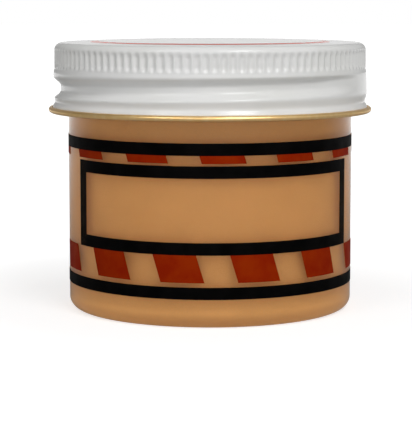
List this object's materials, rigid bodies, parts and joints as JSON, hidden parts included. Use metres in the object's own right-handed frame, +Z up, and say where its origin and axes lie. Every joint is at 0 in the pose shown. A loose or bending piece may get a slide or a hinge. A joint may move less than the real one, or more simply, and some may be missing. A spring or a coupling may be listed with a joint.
{
  "type": "jar of wood putty",
  "caption": "Small screw-top glass jar of tan wood putty with a striped wrap label and a knurled white tinplate lid that unscrews.",
  "frame": {"origin": "centre of the jar's base, on the plane it stands on", "axes": "+Z up along the jar's axis; the front of the label faces -Y; +X is to the right in the picture"},
  "size_m": [0.0616, 0.0616, 0.0509],
  "materials": {
    "clear_glass": "polished",
    "putty": "matte",
    "printed_film": "satin",
    "coated_paper": "satin",
    "pulp_board": "matte",
    "white_enamel": "gloss"
  },
  "bodies": {
    "filled_jar": {"jar": "clear_glass", "putty": "putty", "label": "printed_film"},
    "liner": {"liner_facing": "coated_paper", "liner_board": "pulp_board"},
    "screw_lid": {"lid": "white_enamel"}
  },
  "joints": [
    {"name": "lid_lift", "type": "slide", "parent": "filled_jar", "child": "liner", "axis": [0, 0, 1], "range_m": [0, 0.0171]},
    {"name": "lid_turn", "type": "hinge", "parent": "liner", "child": "screw_lid", "pos_m": [0, 0, 0.0444], "axis": [0, 0, 1], "range_deg": [0, 1440]}
  ],
  "couplings": [
    {"joint": "lid_lift", "follows": "lid_turn", "m_per_rad": 0.00067375}
  ]
}
